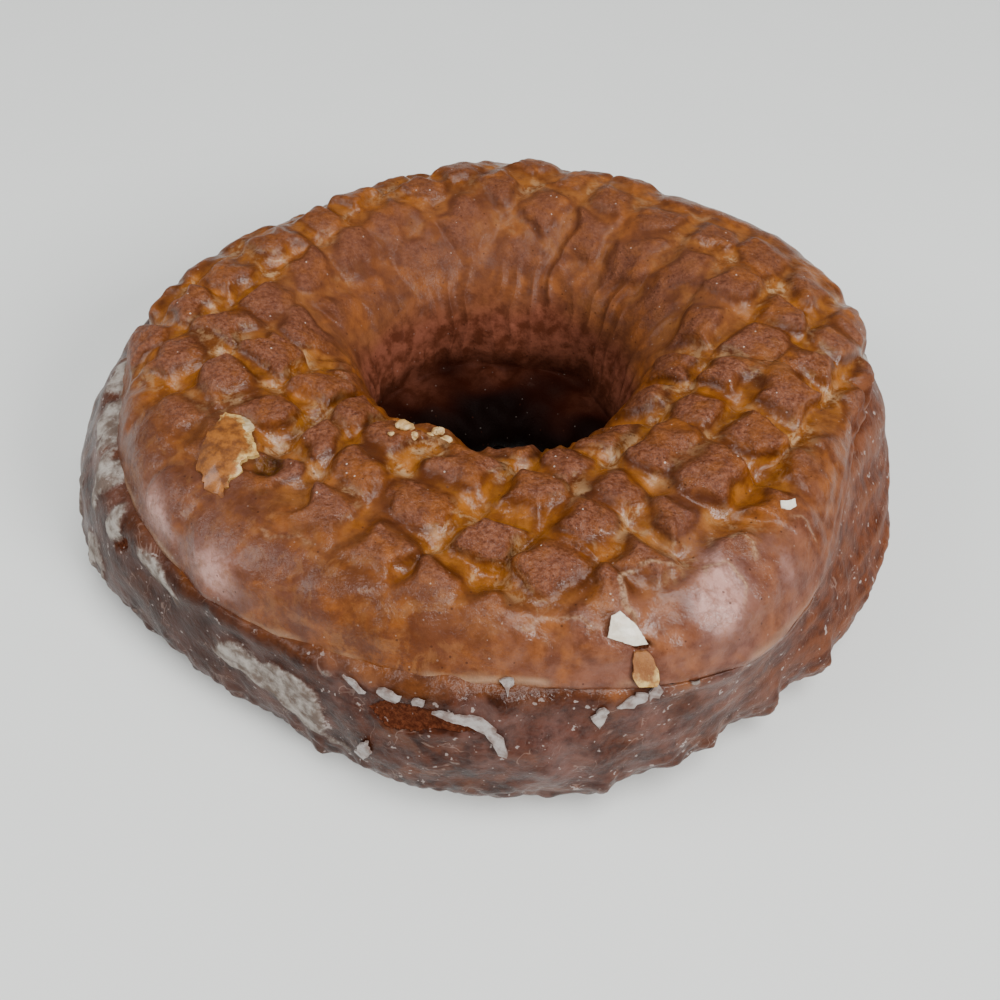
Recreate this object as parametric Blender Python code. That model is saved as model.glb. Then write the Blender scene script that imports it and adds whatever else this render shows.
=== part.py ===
"""Glazed pumpkin cake doughnut: one solid ring that stands on its flat base.

The sizes below are in millimetres and MM turns them into metres. X runs to the right, Y to the
back and Z up, and the origin is the middle of the base. Radii and angles are measured from the
axis of the ring, which lies a little off that middle. The ring has an upper lobe with square
knobs on it, a crease, and a wider lower lobe that turns in under a ragged edge. Its funnel of a
hole lies a little behind the middle.
"""
import math

import bpy
import bmesh
import numpy as np
from mathutils import Vector
from mathutils.geometry import delaunay_2d_cdt

MM = 0.001

# Middle of the ring's box, measured from the axis that the radii below are measured from
MIDDLE = (-1.05, -1.26)
FULL_TURN = 2.0 * math.pi
QUARTER = 0.5 * math.pi

# Upper lobe. Unevenness is given as {waves round the ring: (cosine, sine)}, and a swell as its
# angle and width in degrees and its reach
CREST_HEIGHT = 28.9
UPPER_RADIUS = 43.8
UPPER_HEIGHT = 21.3
UPPER_CENTRE = (0.0, -1.0)
UPPER_UNEVEN = {2: (0.2, 0.7), 3: (-1.1, -0.3), 4: (0.1, 0.8), 5: (-0.1, 1.0)}
UPPER_SWELLS = ((28.0, 24.0, 1.7), (6.0, 20.0, 2.3), (160.0, 20.0, 1.2))
CREST_RADIUS = 31.4
CREST_CENTRE = (-0.4, 1.2)
OUTER_FULLNESS = 0.85
TOP_SLOPE = (0.010, -0.014)

# Crease between the lobes
CREASE_RADIUS = 43.6
CREASE_HEIGHT = 20.4
CREASE_DEPTH = 0.3
CREASE_CALM = 1.6

# Lower lobe
LOWER_RADIUS = 49.9
LOWER_HEIGHT = 8.8
LOWER_UNEVEN = {2: (2.4, 1.3), 3: (-0.9, 0.9), 4: (-0.6, 0.5), 5: (-0.2, -1.1)}
LOWER_SWELLS = ((-50.0, 14.0, -1.4), (-133.0, 22.0, -1.9), (-8.0, 14.0, 0.8), (10.0, 12.0, 1.2),
                (26.0, 20.0, -1.6))
BASE_TURN_IN = 8.5
# How straight the lobe's side is (1 is a round arc and 2 a slope), and where round the ring the
# glaze has run over the crease and made it straighter: angle, width and amount
SIDE_STRAIGHTNESS = 1.0
GLAZE_RUN = (-24.0, 32.0, 0.7)

# Hole: a funnel from the crest to a neck, squarer in front, then the lower lobe bulging into the
# hole down to a narrow throat, cut by a cleft at the back, and a flare at the base
FUNNEL_FULLNESS = (0.79, 0.24)
NECK_RADIUS = 15.2
NECK_HEIGHT = 8.5
NECK_CENTRE = (-0.5, 2.4)
NECK_UNEVEN = {2: (0.5, -0.4), 3: (-0.3, 0.6), 7: (0.2, 0.3)}
THROAT_RADIUS = 8.4
THROAT_HEIGHT = 3.6
THROAT_CENTRE = (0.8, -2.8)
BASE_FLARE = 2.4
CLEFT = (92.0, 14.0, 1.6)

# Knobs: a square lattice pressed into the top, with grooves of two depths
KNOB_PITCH = 7.4
KNOB_TURN = -35.5
KNOB_ORIGIN = (2.7, -25.6)
GROOVE_WIDTH = 1.2
GROOVE_DEPTHS = (1.9, 1.5)
KNOB_DOME = 0.2
KNOB_SAMPLES = (-0.5, -0.28, 0.0, 0.28)
KNOB_FADE = (21.0, 26.0)

# Ragged lower edge, with teeth given as angle, width (both in degrees) and reach
EDGE_HEIGHT = 5.5
EDGE_BAND = 3.4
EDGE_ROUGHNESS = 0.4
TEETH = ((-38.5, 2.6, 1.8), (-48.5, 3.2, 1.6), (-59.5, 2.4, 0.7), (-75.0, 2.2, 0.8),
         (-112.0, 2.6, 0.8), (-128.0, 3.0, 0.6), (24.0, 2.8, 0.9), (152.0, 3.4, 1.1),
         (201.0, 9.0, 1.0), (84.0, 3.4, 1.0), (118.0, 3.0, 0.9), (56.0, 2.6, 0.8))

# Torn flake of crust on the left of the top, with the hollow behind it
FLAKE_PLACE = (-28.3, -20.6)
FLAKE_RADIUS = 3.4
FLAKE_RISE = 1.4
HOLLOW_PLACE = (-24.3, -22.6)
HOLLOW_RADIUS = 2.0
HOLLOW_DEPTH = 2.2

# Bits stuck on by the glaze: a chip (place, size, turn and tilt in degrees) and crumbs
GLAZE_CHIP = ((13.2, -38.6), (4.4, 3.8, 2.2), 20.0, 30.0)
CHIP_LIFT = (0.2, -0.5, 0.8)
CRUMBS = (((-10.4, -14.2), 1.7), ((-6.4, -16.0), 1.3), ((-14.2, -18.6), 1.5))

# Mesh: rings of points up the outside and the funnel, and a net of knob points between them
AROUND = 132
FLARE_STEPS = 2
THROAT_STEPS = 5
FUNNEL_STEPS = 9
FUNNEL_TURN = 0.9
SHOULDER_STEPS = 4
SHOULDER_TURN = 0.95
CREASE_STEPS = 2
LOWER_STEPS = 11
BASE_STEPS = 2
NET_MARGIN = 1.0

CRUST_COLOUR = (0.33, 0.105, 0.028, 1.0)
CRUST_ROUGHNESS = 0.38


def clear_scene():
    for item in list(bpy.data.objects):
        bpy.data.objects.remove(item, do_unlink=True)


def uneven(angle, terms):
    """Sum of a few waves round the ring."""
    return sum(c * np.cos(k * angle) + s * np.sin(k * angle) for k, (c, s) in terms.items())


def angle_bump(angle, place, width):
    """Bell of height 1 at a place round the ring, both in degrees."""
    apart = (np.degrees(angle) - place + 180.0) % 360.0 - 180.0
    return np.exp(-(apart / width) ** 2)


def swelling(angle, swells):
    return sum(size * angle_bump(angle, place, width) for place, width, size in swells)


def reach(angle, radius, centre, terms):
    """Distance from the Z axis to an uneven ring about an offset centre."""
    shift = centre[0] * np.cos(angle) + centre[1] * np.sin(angle)
    return radius + shift + uneven(angle, terms)


def neck_reach(angle):
    return reach(angle, NECK_RADIUS, NECK_CENTRE, NECK_UNEVEN)


def crest_reach(angle):
    return reach(angle, CREST_RADIUS, CREST_CENTRE, {})


def upper_reach(angle):
    return reach(angle, UPPER_RADIUS, UPPER_CENTRE, UPPER_UNEVEN) + swelling(angle, UPPER_SWELLS)


def crease_reach(angle):
    return upper_reach(angle) - UPPER_RADIUS + CREASE_RADIUS - CREASE_DEPTH


def lower_reach(angle):
    return reach(angle, LOWER_RADIUS, (0.0, 0.0), LOWER_UNEVEN) + swelling(angle, LOWER_SWELLS)


def smooth(low, high, value):
    """0 below low, 1 above high, and an even curve between them."""
    t = np.clip((value - low) / (high - low), 0.0, 1.0)
    return t * t * (3.0 - 2.0 * t)


def noise(x, y, z, size, seed):
    """Smooth three-dimensional noise of about -1 to 1 with features of the given size."""
    draw = np.random.default_rng(seed)
    total = 0.0
    for _ in range(9):
        way = draw.normal(size=3)
        way *= draw.uniform(0.7, 1.4) * math.pi / size / np.linalg.norm(way)
        total = total + np.sin(way[0] * x + way[1] * y + way[2] * z + draw.uniform(0.0, FULL_TURN))
    return total / 3.0


def steps(low, high, count, closed=False):
    return np.linspace(low, high, count, endpoint=closed)[None, :]


def throat_reach(angle):
    return reach(angle, THROAT_RADIUS, THROAT_CENTRE, NECK_UNEVEN) + CLEFT[2] * angle_bump(angle, *CLEFT[:2])


def throat(angle):
    """From the base up the hole, over the bulge of the lower lobe, to the bottom of the funnel."""
    narrow = throat_reach(angle)
    height = steps(0.0, THROAT_HEIGHT, FLARE_STEPS)
    low_r = narrow + BASE_FLARE * (1.0 - height / THROAT_HEIGHT) ** 2
    turn = steps(0.0, QUARTER, THROAT_STEPS)
    bulge_r = narrow + (neck_reach(angle) - narrow) * (1.0 - np.cos(turn))
    bulge_z = THROAT_HEIGHT + (NECK_HEIGHT - THROAT_HEIGHT) * np.sin(turn)
    return np.hstack([low_r, bulge_r]), np.hstack([height + 0.0 * angle, bulge_z + 0.0 * angle])


def fullness(angle):
    return FUNNEL_FULLNESS[0] + FUNNEL_FULLNESS[1] * np.sin(angle)


def funnel(angle, turn):
    """Points on the slope from the neck of the hole, at turn 0, to the crest, at a quarter turn."""
    depth = crest_reach(angle) - neck_reach(angle)
    radius = crest_reach(angle) - depth * np.cos(turn) ** fullness(angle)
    height = NECK_HEIGHT + (CREST_HEIGHT - NECK_HEIGHT) * np.sin(turn) ** fullness(angle)
    return radius, height + 0.0 * angle


def shoulder(angle, turn):
    """Points from the crest, at turn 0, to the widest part of the upper lobe, at a quarter turn."""
    radius = crest_reach(angle) + (upper_reach(angle) - crest_reach(angle)) * np.sin(turn) ** OUTER_FULLNESS
    height = UPPER_HEIGHT + (CREST_HEIGHT - UPPER_HEIGHT) * np.cos(turn) ** OUTER_FULLNESS
    return radius, height + 0.0 * angle


def dip(part, drop, power):
    """How far an arc of the given fullness lies below its top, at a part of its width."""
    part = np.clip(part, 0.0, 1.0) ** (1.0 / power)
    return drop * (1.0 - np.sqrt(1.0 - part ** 2) ** power)


def crown_height(angle, radius):
    crest = crest_reach(angle)
    inner = dip((crest - radius) / (crest - neck_reach(angle)), CREST_HEIGHT - NECK_HEIGHT, fullness(angle))
    outer = dip((radius - crest) / (upper_reach(angle) - crest), CREST_HEIGHT - UPPER_HEIGHT, OUTER_FULLNESS)
    return CREST_HEIGHT - inner - outer


def crease(angle):
    """From the upper lobe in to the bottom of the crease."""
    t = steps(0.0, 1.0, CREASE_STEPS)
    radius = upper_reach(angle) + (crease_reach(angle) - upper_reach(angle)) * t ** 1.5
    return radius, UPPER_HEIGHT + (CREASE_HEIGHT - UPPER_HEIGHT) * t + 0.0 * angle


def lower_lobe(angle):
    """From the crease over the bulge of the lower lobe and in to the base."""
    side_count = LOWER_STEPS * 6 // 10
    turn = steps(0.0, QUARTER, side_count)
    bulge = lower_reach(angle)
    power = SIDE_STRAIGHTNESS + GLAZE_RUN[2] * angle_bump(angle, *GLAZE_RUN[:2])
    side_r = crease_reach(angle) + (bulge - crease_reach(angle)) * np.sin(turn) ** power
    side_z = LOWER_HEIGHT + (CREASE_HEIGHT - LOWER_HEIGHT) * np.cos(turn) ** power
    turn = steps(0.0, QUARTER, LOWER_STEPS - side_count, closed=True)
    under_r = bulge - BASE_TURN_IN * (1.0 - np.cos(turn))
    under_z = LOWER_HEIGHT * (1.0 - np.sin(turn)) + 0.0 * angle
    return np.hstack([side_r, under_r]), np.hstack([side_z, under_z])


def base(angle):
    """Flat rings between the lower lobe and the hole."""
    outer = lower_reach(angle) - BASE_TURN_IN
    inner = throat_reach(angle) + BASE_FLARE
    t = np.linspace(0.0, 1.0, BASE_STEPS + 2)[None, 1:-1]
    return outer + (inner - outer) * t, 0.0 * t + 0.0 * angle


def ring_profile():
    """Rings from the shoulder down, under the base and up the funnel, without relief."""
    angle = np.linspace(0.0, FULL_TURN, AROUND, endpoint=False)[:, None]
    outside = shoulder(angle, steps(SHOULDER_TURN, QUARTER, SHOULDER_STEPS))
    inside = funnel(angle, steps(0.0, FUNNEL_TURN, FUNNEL_STEPS, closed=True))
    parts = [outside, crease(angle), lower_lobe(angle), base(angle), throat(angle), inside]
    radius = np.hstack([part[0] for part in parts])
    height = np.hstack([part[1] for part in parts])
    return angle + 0.0 * radius, radius, height


def outward(radius, height):
    """Unit normals of the rings' profile in the plane of radius and height."""
    along_r = np.gradient(radius, axis=1)
    along_z = np.gradient(height, axis=1)
    length = np.hypot(along_r, along_z)
    return -along_z / length, along_r / length


def knob_places(x, y):
    """Position in the lattice of knobs, in pitches, along its two directions."""
    turn = math.radians(KNOB_TURN)
    dx = (x - KNOB_ORIGIN[0]) / KNOB_PITCH
    dy = (y - KNOB_ORIGIN[1]) / KNOB_PITCH
    return dx * math.cos(turn) + dy * math.sin(turn), dy * math.cos(turn) - dx * math.sin(turn)


def knob_relief(x, y):
    """Square knobs between two families of grooves, negative in the grooves."""
    total = 0.0
    for way, depth in zip(knob_places(x, y), GROOVE_DEPTHS):
        to_groove = KNOB_PITCH * np.abs(way - np.floor(way) - 0.5)
        groove = depth * np.exp(-(to_groove / GROOVE_WIDTH) ** 2)
        total = total - groove + 0.5 * KNOB_DOME * np.cos(FULL_TURN * way)
    return np.maximum(total, -max(GROOVE_DEPTHS) - 0.3)


def top_relief(angle, radius, height, x, y):
    """Knobs over the top, flatter where the glaze lies thick and down in the hole."""
    from_outer = radius - upper_reach(angle)
    inside = smooth(KNOB_FADE[0], KNOB_FADE[1], height)
    outside = smooth(UPPER_HEIGHT - 0.5, UPPER_HEIGHT + 3.0, height)
    strength = np.where(radius < crest_reach(angle), inside, outside)
    front = smooth(0.0, -20.0, y) * smooth(-8.0, -2.5, from_outer)
    left = angle_bump(angle, -131.0, 26.0) * smooth(-13.0, -7.0, from_outer)
    right = angle_bump(angle, -55.0, 20.0) * smooth(-11.0, -5.0, from_outer)
    back = angle_bump(angle, 38.0, 26.0) * smooth(-10.0, -4.0, from_outer)
    calm = np.clip(front + left + right + back, 0.0, 1.0)
    return knob_relief(x, y) * strength * (1.0 - 0.85 * calm)


def flake_relief(x, y, height):
    """The torn flake of crust and the hollow behind it."""
    flake = np.hypot(x - FLAKE_PLACE[0], y - FLAKE_PLACE[1]) / FLAKE_RADIUS
    hollow = np.hypot(x - HOLLOW_PLACE[0], y - HOLLOW_PLACE[1]) / HOLLOW_RADIUS
    raised = FLAKE_RISE * (1.0 - smooth(0.6, 1.15, flake))
    return smooth(24.0, 26.0, height) * (raised - HOLLOW_DEPTH * np.exp(-hollow ** 2))


def edge_relief(angle, radius, height, x, y):
    """Teeth and small crags along the lower edge."""
    band = np.exp(-((height - EDGE_HEIGHT) / EDGE_BAND) ** 2) * smooth(35.0, 40.0, radius)
    teeth = sum(size * angle_bump(angle, place, width) for place, width, size in TEETH)
    return band * (teeth + EDGE_ROUGHNESS * noise(x, y, 0.5 * height, 3.2, 5))


def relief(angle, radius, height):
    """Height of the surface above the plain ring, along its normal."""
    x = radius * np.cos(angle)
    y = radius * np.sin(angle)
    swell = 0.35 * noise(x, y, height, 14.0, 11) + 0.15 * noise(x, y, height, 5.0, 12)
    total = swell + top_relief(angle, radius, height, x, y) + flake_relief(x, y, height)
    crease_bell = np.exp(-((height - CREASE_HEIGHT) / CREASE_CALM) ** 2) * smooth(34.0, 38.0, radius)
    total = (1.0 - crease_bell) * (total + edge_relief(angle, radius, height, x, y))
    return smooth(0.0, 1.5, height) * total


def finished(angle, radius, height, normal_r, normal_z):
    """Points of the surface, in metres, from those of the plain ring."""
    lift = relief(angle, radius, height)
    radius = radius + lift * normal_r
    x = radius * np.cos(angle)
    y = radius * np.sin(angle)
    height = np.maximum(height + lift * normal_z, 0.0)
    height = height * (1.0 + (TOP_SLOPE[0] * x + TOP_SLOPE[1] * y) / CREST_HEIGHT)
    return np.stack([x - MIDDLE[0], y - MIDDLE[1], height], axis=-1) * MM


def ring_points():
    angle, radius, height = ring_profile()
    return finished(angle, radius, height, *outward(radius, height))


def net_places():
    """Angles and radii of the lattice points that lie between the funnel and the shoulder."""
    span = int(60.0 / KNOB_PITCH) + 3
    ways = np.array([whole + part for whole in range(-span, 2 * span) for part in KNOB_SAMPLES])
    along, across = np.meshgrid(ways, ways)
    turn = math.radians(KNOB_TURN)
    x = KNOB_ORIGIN[0] + KNOB_PITCH * (along * math.cos(turn) - across * math.sin(turn))
    y = KNOB_ORIGIN[1] + KNOB_PITCH * (along * math.sin(turn) + across * math.cos(turn))
    angle = np.arctan2(y, x).ravel()
    radius = np.hypot(x, y).ravel()
    inner = funnel(angle, FUNNEL_TURN)[0] + NET_MARGIN
    outer = shoulder(angle, SHOULDER_TURN)[0] - NET_MARGIN
    kept = (radius > inner) & (radius < outer)
    return angle[kept], radius[kept]


def net_points(angle, radius):
    slope = (crown_height(angle, radius + 0.05) - crown_height(angle, radius - 0.05)) / 0.1
    length = np.hypot(1.0, slope)
    return finished(angle, radius, crown_height(angle, radius), -slope / length, 1.0 / length)


def net_triangles(inner_ring, outer_ring, inside):
    """Triangles over the top between two closed rings of points, through the points inside."""
    flat = np.vstack([inner_ring, outer_ring, inside])[:, :2] / MM
    count = len(inner_ring)
    loops = [(k, (k + 1) % count) for k in range(count)]
    loops += [(count + k, count + (k + 1) % count) for k in range(count)]
    made = delaunay_2d_cdt([Vector(p) for p in flat], loops, [], 0, 1e-6)
    source = [group[0] for group in made[3]]
    hole = inner_ring[:, :2] / MM
    shoulder = outer_ring[:, :2] / MM
    kept = []
    for face in made[2]:
        corners = [source[k] for k in face]
        middle = flat[corners].mean(axis=0)
        if within(middle, shoulder) and not within(middle, hole):
            kept.append(corners)
    return kept


def within(point, loop):
    """Whether a point lies in a closed loop round the Z axis."""
    near = loop
    far = np.roll(loop, -1, axis=0)
    crosses = (near[:, 1] > point[1]) != (far[:, 1] > point[1])
    rise = np.where(crosses, far[:, 1] - near[:, 1], 1.0)
    at = near[:, 0] + (point[1] - near[:, 1]) / rise * (far[:, 0] - near[:, 0])
    return bool(np.count_nonzero(crosses & (at > point[0])) % 2)


def material(name, colour, roughness):
    made = bpy.data.materials.new(name)
    made.use_nodes = True
    shader = made.node_tree.nodes["Principled BSDF"]
    shader.inputs["Base Color"].default_value = colour
    shader.inputs["Roughness"].default_value = roughness
    shader.inputs["Metallic"].default_value = 0.0
    return made


def make_object(name, shape, surface):
    mesh = bpy.data.meshes.new(name)
    shape.to_mesh(mesh)
    shape.free()
    mesh.materials.append(surface)
    mesh.shade_smooth()
    made = bpy.data.objects.new(name, mesh)
    bpy.context.scene.collection.objects.link(made)
    return made


def build_ring(rings, net, surface):
    """The rings, closed by the net over the top."""
    around, along = rings.shape[:2]
    shape = bmesh.new()
    grid = [[shape.verts.new(point) for point in row] for row in rings]
    for i in range(around):
        near = grid[i]
        far = grid[(i + 1) % around]
        for j in range(along - 1):
            shape.faces.new((near[j], near[j + 1], far[j + 1], far[j]))
    knobs = [shape.verts.new(point) for point in net]
    corners = [row[-1] for row in grid] + [row[0] for row in grid] + knobs
    for triangle in net_triangles(rings[:, -1], rings[:, 0], net):
        shape.faces.new([corners[k] for k in triangle])
    unused = [vert for vert in shape.verts if not vert.link_faces]
    bmesh.ops.delete(shape, geom=unused, context="VERTS")
    bmesh.ops.recalc_face_normals(shape, faces=shape.faces)
    return make_object("doughnut", shape, surface)


def on_surface(points, place):
    """The point of the top nearest to a place given by x and y."""
    apart = points[:, :2] / MM + np.array(MIDDLE) - np.array(place)
    apart = np.hypot(apart[:, 0], apart[:, 1])
    return points[np.argmin(apart)]


def add_bit(bits, kind, place, size, turn=0.0, tilt=0.0):
    """One stuck bit, tilted towards the front and turned about Z."""
    if kind == "chip":
        corners = bmesh.ops.create_cube(bits, size=1.0)["verts"]
    else:
        corners = bmesh.ops.create_icosphere(bits, subdivisions=1, radius=0.5)["verts"]
    about_x = np.array([[1.0, 0.0, 0.0],
                        [0.0, math.cos(tilt), -math.sin(tilt)],
                        [0.0, math.sin(tilt), math.cos(tilt)]])
    about_z = np.array([[math.cos(turn), -math.sin(turn), 0.0],
                        [math.sin(turn), math.cos(turn), 0.0],
                        [0.0, 0.0, 1.0]])
    for corner in corners:
        corner.co = about_z @ about_x @ (np.array(corner.co) * np.array(size)) * MM + place


def build_bits(top, surface):
    """The chip of glaze and the crumbs that are fused on."""
    bits = bmesh.new()
    place, size, turn, tilt = GLAZE_CHIP
    chip_place = on_surface(top, place) + np.array(CHIP_LIFT) * MM
    add_bit(bits, "chip", chip_place, size, math.radians(turn), math.radians(tilt))
    for index, (place, size) in enumerate(CRUMBS):
        add_bit(bits, "crumb", on_surface(top, place), (1.4 * size, size, size), 0.7 * index)
    guide = make_object("stuck_bits", bits, surface)
    guide.hide_render = True
    guide.display_type = "WIRE"
    return guide


def fuse(body, guide):
    union = body.modifiers.new("fuse", "BOOLEAN")
    union.operation = "UNION"
    union.solver = "EXACT"
    union.object = guide


def main():
    clear_scene()
    crust = material("glazed_crust", CRUST_COLOUR, CRUST_ROUGHNESS)
    rings = ring_points()
    net = net_points(*net_places())
    body = build_ring(rings, net, crust)
    top = np.vstack([rings[:, 0], rings[:, -1], net])
    fuse(body, build_bits(top, crust))


main()
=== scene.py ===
"""Looks of a glazed pumpkin cake doughnut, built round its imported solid.

Sizes are in millimetres and MM turns them into metres. Angles are in degrees where they are named
values. The named sizes of the ring are those of its solid, and the meshes here carry finer relief.
"""

import math

import bmesh
import bpy
import numpy as np
from mathutils import Matrix, Vector
from mathutils.bvhtree import BVHTree
from mathutils.geometry import delaunay_2d_cdt


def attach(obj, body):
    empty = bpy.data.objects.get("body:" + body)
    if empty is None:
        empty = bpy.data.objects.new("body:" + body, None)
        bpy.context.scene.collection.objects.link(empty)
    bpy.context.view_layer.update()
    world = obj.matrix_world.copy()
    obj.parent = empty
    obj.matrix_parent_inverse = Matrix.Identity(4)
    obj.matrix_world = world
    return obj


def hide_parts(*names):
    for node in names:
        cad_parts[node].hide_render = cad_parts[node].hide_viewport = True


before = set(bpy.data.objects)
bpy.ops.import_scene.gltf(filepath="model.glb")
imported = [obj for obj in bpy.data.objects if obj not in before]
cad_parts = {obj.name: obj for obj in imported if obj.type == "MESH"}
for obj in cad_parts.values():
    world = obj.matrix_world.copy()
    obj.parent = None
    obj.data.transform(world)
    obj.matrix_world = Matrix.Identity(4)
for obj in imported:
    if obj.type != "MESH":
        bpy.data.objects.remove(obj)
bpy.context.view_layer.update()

MM = 0.001
MIDDLE = (-1.05, -1.26)
FULL_TURN = 2.0 * math.pi
QUARTER = 0.5 * math.pi

# ---- The ring: the same sizes as its solid ----
CREST_HEIGHT = 28.9
UPPER_RADIUS = 43.8
UPPER_HEIGHT = 21.3
UPPER_CENTRE = (0, -1)
UPPER_UNEVEN = {2: (0.2, 0.7), 3: (-1.1, -0.3), 4: (0.1, 0.8), 5: (-0.1, 1)}
UPPER_SWELLS = ((28, 24, 1.7), (6, 20, 2.3), (160, 20, 1.2))
CREST_RADIUS = 31.4
CREST_CENTRE = (-0.4, 1.2)
OUTER_FULLNESS = 0.85
TOP_SLOPE = (0.010, -0.014)
CREASE_RADIUS = 43.6
CREASE_HEIGHT = 20.4
CREASE_DEPTH = 0.3
LOWER_RADIUS = 49.9
LOWER_HEIGHT = 8.8
LOWER_UNEVEN = {2: (2.4, 1.3), 3: (-0.9, 0.9), 4: (-0.6, 0.5), 5: (-0.2, -1.1)}
LOWER_SWELLS = (
    (-50, 14, -1.4), (-133, 22, -1.9), (-8, 14, 0.8), (10, 12, 1.2), (26, 20, -1.6),
)
SIDE_STRAIGHTNESS = 1.0
GLAZE_RUN = (-24, 32, 0.7)
BASE_TURN_IN = 8.5
FUNNEL_FULLNESS = (0.79, 0.24)
NECK_RADIUS = 15.2
NECK_HEIGHT = 8.5
NECK_CENTRE = (-0.5, 2.4)
NECK_UNEVEN = {2: (0.5, -0.4), 3: (-0.3, 0.6), 7: (0.2, 0.3)}
THROAT_RADIUS = 8.4
THROAT_HEIGHT = 3.6
THROAT_CENTRE = (0.8, -2.8)
BASE_FLARE = 2.4
CLEFT = (92, 14, 1.6)
KNOB_PITCH = 7.4
KNOB_TURN = -35.5
KNOB_ORIGIN = (2.7, -25.6)
GROOVE_DEPTHS = (1.9, 1.5)
KNOB_FADE = (21, 26)
EDGE_HEIGHT = 5.5
EDGE_BAND = 3.4
TEETH = (
    (-38.5, 2.6, 1.8), (-48.5, 3.2, 1.6), (-59.5, 2.4, 0.7), (-75, 2.2, 0.8), (-112, 2.6, 0.8),
    (-128, 3, 0.6), (24, 2.8, 0.9), (152, 3.4, 1.1), (201, 9, 1), (84, 3.4, 1), (118, 3, 0.9),
    (56, 2.6, 0.8),
)
FLAKE_PLACE = (-28.3, -20.6)
FLAKE_RADIUS = 3.4
FLAKE_RISE = 0.9
HOLLOW_PLACE = (-24.3, -22.6)
HOLLOW_RADIUS = 2.0
HOLLOW_DEPTH = 2.2

# ---- Finer relief of the looks ----
# Where the flat of a knob starts and its groove ends, as shares of half the pitch, and its spread
KNOB_FLAT = (0.38, 1.02, 0.1)
KNOB_HEIGHTS = 0.42
KNOB_TILTS = 0.09
KNOB_WOBBLE = 0.62
KNOB_DRAWS = 40
TOP_STEP = 0.07
LATTICE_WARP = 0.8
HOLE_RIDGES = 41
RIDGE_DEPTH = 0.42
LUMP_DEPTH = 0.2
STREAK_DEPTHS = (0.15, 0.07)
PIT_DEPTH = 0.16
FILLET = (1.15, 1.8)
LIP = (0.05, 0.35)

# Stretches of the ring, as the angle of the middle and the half width
RUN_SIDE = (-14, 38)
OPEN_CREASE = (2, 34)
EVEN_LEFT = (-142, 36)
SOFT_LEFT = (-145, 34)
SMOOTH_LEFT = (-131, 30)
SHADED_LEFT = (-136, 24)
ROSY_RIGHT = (-60, 27)
# Shoulders without knobs: angle, half width, and how far in from the widest line they reach
CALM_SIDES = ((-131, 26, -13, -7), (-55, 20, -10, -5), (38, 26, -10, -4))

# Dried white glaze on the flank: angle, height, half length round the ring, half height, strength
FROST = (
    (-122, 13.8, 5.6, 3, 1.2), (-113.8, 12, 3, 3.8, 1.2), (-117, 15.6, 2.6, 1.6, 0.95),
    (-139.5, 18.6, 3.2, 1.5, 1), (-136, 17.2, 1.6, 1.6, 0.8), (-150, 18.6, 1.8, 2, 1.05),
    (-156.5, 18.6, 2.6, 2.4, 1), (-164, 20.6, 4.2, 1.5, 0.9), (-172, 20.8, 5, 1.6, 0.95),
    (-179.5, 20.8, 3, 1.4, 0.85), (-154.5, 9.8, 4, 4.2, 1), (-163, 12, 3, 3.6, 0.85),
    (-126.5, 18.9, 1.1, 0.6, 0.85), (-68, 20.4, 0.7, 0.5, 0.85), (-65, 20.2, 0.6, 0.4, 0.85),
    (4.5, 22.6, 1.5, 1.3, 1.5), (-92.5, 12.8, 2.6, 0.45, 0.7), (-110, 19.2, 1.2, 0.4, 0.8),
    (-108, 8.6, 3, 0.9, 0.75), (170, 15, 3, 2.6, 0.75),
)
FROST_RISE = 0.3

# Thin milky glaze, and painted sheen: angle, height, half length, half height, strength
# The strong spots high on the near right shoulder, from -66 to -48 degrees, are a painted sheen.
VEILS_AND_SHEEN = (
    (-131, 24.6, 14, 4, 1), (-112, 26.6, 6, 2, 0.05), (-66, 26.4, 4, 1.7, 0.8),
    (-61, 25.4, 5, 2.2, 0.8), (-57, 26.8, 3.5, 2, 1), (-80, 22.8, 10, 1.8, 0.6),
    (-48, 23, 12, 1.8, 0.3), (-48, 26, 2.6, 2, 0.8), (-84, 25.2, 6, 1.6, 0.3),
    (-150, 22.5, 9, 3.5, 0.5), (-165, 22, 8, 4, 0.45), (-71.5, 17, 4.5, 2, 0.55),
    (-82, 13, 8, 4, 0.6), (-58, 14, 9, 4, 0.35), (-30, 20, 14, 5, 0.1), (45, 24, 14, 4, 0.4),
    (70, 26, 12, 3, 0.25),
)

# Crust laid bare where the glaze has broken off
BARE = (
    (-71.2, 25.2, 1.2, 0.55, 1), (-101.5, 17.2, 2.9, 1.5, 1.2), (-95, 17.7, 3.6, 0.95, 1.2),
    (-147.6, 17.6, 1.4, 1.6, 0.9),
)
BARE_DEPTH = 0.45

# Broken upper edges of thick glaze on the top: height of the edge, how fast it sinks, line
SHEETS = (
    (0.36, 1.8, (
        (15, -42.6), (14.2, -41.6), (13.4, -40.2), (12.4, -38.9), (11.9, -37.4), (12.3, -35.9),
        (13.3, -35), (15.6, -34.6), (17.2, -34.1), (18.6, -34.2), (19.2, -35.2))),
    (0.3, 1.4, (
        (19.7, -36.2), (21, -34), (22.4, -33.5), (23.8, -34.8), (24.3, -36), (24, -38.2))),
    (0.3, 1.2, (
        (21.2, -32.6), (21.8, -30), (23, -30.4), (24.4, -29.8), (25.8, -31), (25.2, -33.4))),
    (0.16, 1.6, (
        (1.6, -41.4), (4.6, -40.6), (7.2, -40), (9.6, -40.8), (11.2, -41))),
    (0.14, 1.2, (
        (29.4, -27.8), (30.8, -26.6), (32.6, -27.6), (33.4, -29.6))),
    (0.12, 1.2, (
        (-24.5, -31), (-22, -32.6), (-19.4, -32.2), (-17.2, -33.8))),
)
SHEET_RIM = 0.17

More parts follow.
